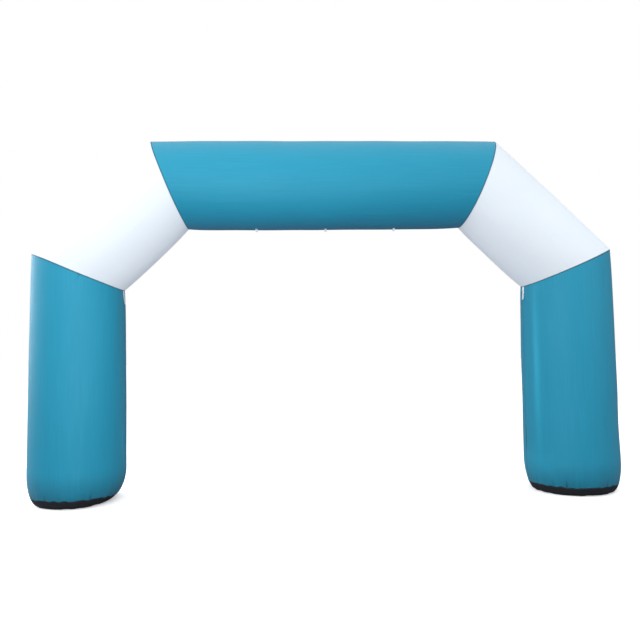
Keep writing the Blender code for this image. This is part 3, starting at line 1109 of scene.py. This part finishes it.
teal_thread = bonded_thread("teal_bonded_thread", "#3f9cba")
white_thread = bonded_thread("white_bonded_thread", "#e6ecef")
black_thread = bonded_thread("black_bonded_thread", "#26292c")
print("three threads ready")

# %% [markdown]
# All the stitches of a piece are joined in one mesh. The rows on the right are sewn on the left-hand shape
# and mirrored with it.

# %% Sew the seams


def stitch_piece(name, beads, material, slot, mirror=False):
    """One mesh from many beads. A mirrored one has its X turned round and its faces flipped."""
    beads = np.concatenate(beads) * (MIRRORED if mirror else 1.0)
    count = len(beads)
    faces = (BEAD_FACES[None] + (len(BEAD_POINTS) * np.arange(count))[:, None, None]).reshape(-1, 3)
    mesh = bpy.data.meshes.new(name)
    mesh.from_pydata(beads.reshape(-1, 3).tolist(), [], (faces[:, ::-1] if mirror else faces).tolist())
    mesh.shade_smooth()
    place(name, mesh, material, slot)
    print(f"  {count} stitches")


stitch_piece("beam_stitches", mitre_rows(beam_grid) + lengthwise_rows(beam_grid), teal_thread, "teal_cloth")
for side in ("left", "right"):
    mirror = side == "right"
    for name, grid, thread, slot in (
        (f"shoulder_stitches_{side}", shoulder_grids[side], white_thread, "white_cloth"),
        (f"leg_stitches_{side}", leg_grids[side], teal_thread, "teal_cloth"),
    ):
        stitch_piece(name, mitre_rows(grid) + lengthwise_rows(grid), thread, slot, mirror)
    pan_row = [row_of_stitches(*row_at(pan_grids[side], True))]
    stitch_piece(f"pan_stitches_{side}", pan_row, black_thread, "black_sheet", mirror)

# %% [markdown]
# Webbing is a flat strap woven thick, with ribs across it. Three short loops of it hang under the beam to
# take a banner's cord, and a tab hangs from the inner corner of each leg. The ribs are drawn at twice their
# real pitch, so that they show.

# %% Webbing
WEBBING_THICKNESS = 0.002
RIB_PITCH, RIB_HEIGHT = 0.005, 0.00022
STEPS_PER_RIB = 5  # points along a strap for each rib
STRAP_SIDES = 28
CLEAR = 0.0006  # between the webbing and the skin that it is sewn to


def woven_webbing():
    """Polyester webbing: thick bright yarns in ribs across the strap, painted paler on their tops as a
    painted highlight in fine lines.
    """
    material, tree, shader = new_material("woven_polyester_webbing")
    flat = add(tree, "ShaderNodeUVMap", uv_map="cloth_metres").outputs[0]
    weave = weave_height(tree, flat, 0.5 * RIB_PITCH)
    # The tops of the ribs are painted paler, a painted highlight.
    levels = {"Value": weave, "From Min": -1.0, "From Max": 1.0, "To Min": 0.0, "To Max": 1.0}
    tone = add(tree, "ShaderNodeMapRange", levels)
    tones = {"Factor": tone.outputs["Result"], FIRST: linear("#cfdbe2"), SECOND: linear("#f2f6f8")}
    colour = add(tree, "ShaderNodeMix", tones, data_type="RGBA")
    bump = add(tree, "ShaderNodeBump", {"Strength": 0.6, "Distance": 0.0004, "Height": weave})
    fill(tree, shader, {"Base Color": colour.outputs[MIXED], "Normal": bump.outputs[0]})
    fill(tree, shader, {"Roughness": 0.7, "Sheen Weight": 0.3})
    return material


webbing = woven_webbing()
print(f"ribs {1000 * RIB_PITCH:.0f} mm apart")

# %% [markdown]
# A strap is a rounded flat profile carried along a path. The profile is a superellipse, whose edges are
# rounded over but whose faces stay nearly flat. The length of the path is the length the strap was cut to.

# %% A strap


def strap_points(line, across, width):
    """A flat profile with rounded edges carried along a line: a superellipse, its height rippled by ribs."""
    run = np.gradient(line, axis=0)
    run /= np.linalg.norm(run, axis=1, keepdims=True)
    up = np.cross(across, run)
    gone = reached(line)
    turn = np.linspace(0.0, FULL_TURN, STRAP_SIDES, endpoint=False)
    side = np.sign(np.cos(turn)) * np.abs(np.cos(turn)) ** 0.5
    rise = np.sign(np.sin(turn)) * np.abs(np.sin(turn)) ** 0.8
    ribs = RIB_HEIGHT * np.cos(FULL_TURN * gone / RIB_PITCH)[:, None]
    height = (0.5 * WEBBING_THICKNESS + ribs) * rise
    sideways = (0.5 * width * side)[None, :, None] * across
    return line[:, None] + sideways + height[..., None] * up[:, None], gone


def strap_piece(name, line, across, width, node):
    """A webbing strap that stands for its CAD node, with its flat map in metres round its profile and along
    it.
    """
    points, gone = strap_points(line, across, width)
    around = np.linspace(0.0, 2.0 * width, points.shape[1] + 1)
    mesh = tube_mesh(name, points, (around, np.repeat(gone[:, None], points.shape[1], 1)), {})
    piece = place(name, mesh, webbing, "white_webbing", node)
    return piece


line = np.linspace([0.0, 0.0, 0.0], [0.0, 0.0, 0.1], 9)
trial, _ = strap_points(line, np.array([1.0, 0.0, 0.0]), 0.025)
print(f"a trial strap 25 mm wide is {1000 * np.ptp(trial[..., 1]):.2f} mm thick at its ribs")

# %% [markdown]
# A strap is held by bar tacks: rows of long stitches sewn close together across it, two at each end of what
# is sewn down.

# %% Bar tacks
TACK_PITCH, TACK_MARGIN = 0.0022, 0.003
TACK_SIZE = np.array([0.0035, 0.0008, 0.0006])  # half the length, width and height of its stitches


def bar_tack(line, across, width, share):
    """A row of long stitches across a strap at a share of its length: side by side, they lie along it."""
    at = round(share * (len(line) - 1))
    run = unit(line[at + 1] - line[at - 1])
    up = np.cross(across, run)
    offsets = np.arange(-0.5 * width + TACK_MARGIN, 0.5 * width - TACK_MARGIN, TACK_PITCH)
    local = BEAD_POINTS * TACK_SIZE
    centres = line[at] + offsets[:, None] * across + (0.5 * WEBBING_THICKNESS + RIB_HEIGHT) * up
    return centres[:, None] + local[:, 0, None] * run - local[:, 1, None] * across + local[:, 2, None] * up


print("stitches in a tack on 25 mm webbing:", len(bar_tack(line, np.array([1.0, 0.0, 0.0]), 0.025, 0.5)))

# %% [markdown]
# A tie loop is a strip laid across the beam's underside. Its two ends are sewn flat on the skin, and between
# them it drops away in a smooth hump, which leaves an eye for the cord. The beam's own relief is read back,
# so that the ends lie on the cloth.

# %% Tie loops
TIE_WIDTH, TIE_HALF_SPAN, TIE_SEWN_END, TIE_DROP = 0.025, 0.025, 0.018, 0.024
TIE_RIBS = 22
TIE_TACKS = (0.05, 0.13, 0.87, 0.95)  # shares of its length


def beam_skin_radius(angle, x):
    """The beam's radius near its innermost line, from the finished grid."""
    points = beam_grid[0]
    row = int(np.abs(points[:, 0, 0] - x).argmin())
    radius = np.hypot(points[row, :, 1], points[row, :, 2] - BEAM_Z)
    return np.interp(angle % FULL_TURN, ANGLE, radius)


across = np.array([1.0, 0.0, 0.0])
for side in ("left", "centre", "right"):
    node = f"tie_loop_{side}"
    low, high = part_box(node)
    x = 0.5 * (low.x + high.x)
    reach = TIE_HALF_SPAN + TIE_SEWN_END
    sideways = np.linspace(-reach, reach, TIE_RIBS * STEPS_PER_RIB)
    turn = sideways / TUBE_RADIUS
    eye = np.cos(0.5 * math.pi * np.clip(sideways / TIE_HALF_SPAN, -1.0, 1.0)) ** 2
    radius = beam_skin_radius(turn, x) + 0.5 * WEBBING_THICKNESS + CLEAR + TIE_DROP * eye
    line = np.stack([0.0 * turn + x, -radius * np.sin(turn), BEAM_Z - radius * np.cos(turn)], axis=1)
    strap_piece(f"tie_strap_{side}", line, across, TIE_WIDTH, node)
    tacks = [bar_tack(line, across, TIE_WIDTH, at) for at in TIE_TACKS]
    stitch_piece(f"tie_tacks_{side}", tacks, white_thread, "white_webbing")
    print(f"  strip {1000 * reached(line)[-1]:.1f} mm long")

# %% [markdown]
# A corner tab is sewn to the leg by its upper quarter and hangs free below, a little off the skin. The right
# one has swung to the front. A tab that leans covers less height: its drop is the third side of a triangle.

# %% Corner tabs
TAB_WIDTH, TAB_LENGTH, TAB_LIFT = 0.050, 0.150, 0.012
TAB_LEAN = {"left": 0.0, "right": 0.030}  # how far the loose end of each tab has swung to the front
TAB_RIBS = 30
TAB_TACKS = (0.03, 0.09, 0.18, 0.24)

for side, sign in (("left", 1.0), ("right", -1.0)):
    node = f"corner_tab_{side}"
    low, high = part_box(node)
    down = np.linspace(0.0, 1.0, TAB_RIBS * STEPS_PER_RIB)
    drop = math.sqrt(TAB_LENGTH**2 - TAB_LEAN[side] ** 2)
    height = high.z - drop * down
    inner_line = leg_grids[side][0][:, 0]
    skin = np.interp(height, inner_line[:, 2], inner_line[:, 0] + LEG_X)
    reach = skin + CLEAR + 0.5 * WEBBING_THICKNESS + TAB_LIFT * down**2
    line = np.stack([sign * (reach - LEG_X), -TAB_LEAN[side] * down, height], axis=1)
    run = unit(line[-1] - line[0])
    across = unit(np.array([0.0, -sign, 0.0]) + sign * run[1] * run)
    strap_piece(f"tab_strap_{side}", line, across, TAB_WIDTH, node)
    tacks = [bar_tack(line, across, TAB_WIDTH, at) for at in TAB_TACKS]
    stitch_piece(f"tab_tacks_{side}", tacks, white_thread, "white_webbing")

# %% [markdown]
# The last cell measures how far the finished arch has grown beyond the frame's box. Cloth may stand a
# few millimetres proud of the solid it covers, but the arch has to keep its size.

# %% Measure and finish
low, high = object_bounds()
print("grew by, mm:", [round(1000 * x, 1) for x in (*(cad_low - low), *(high - cad_high))])
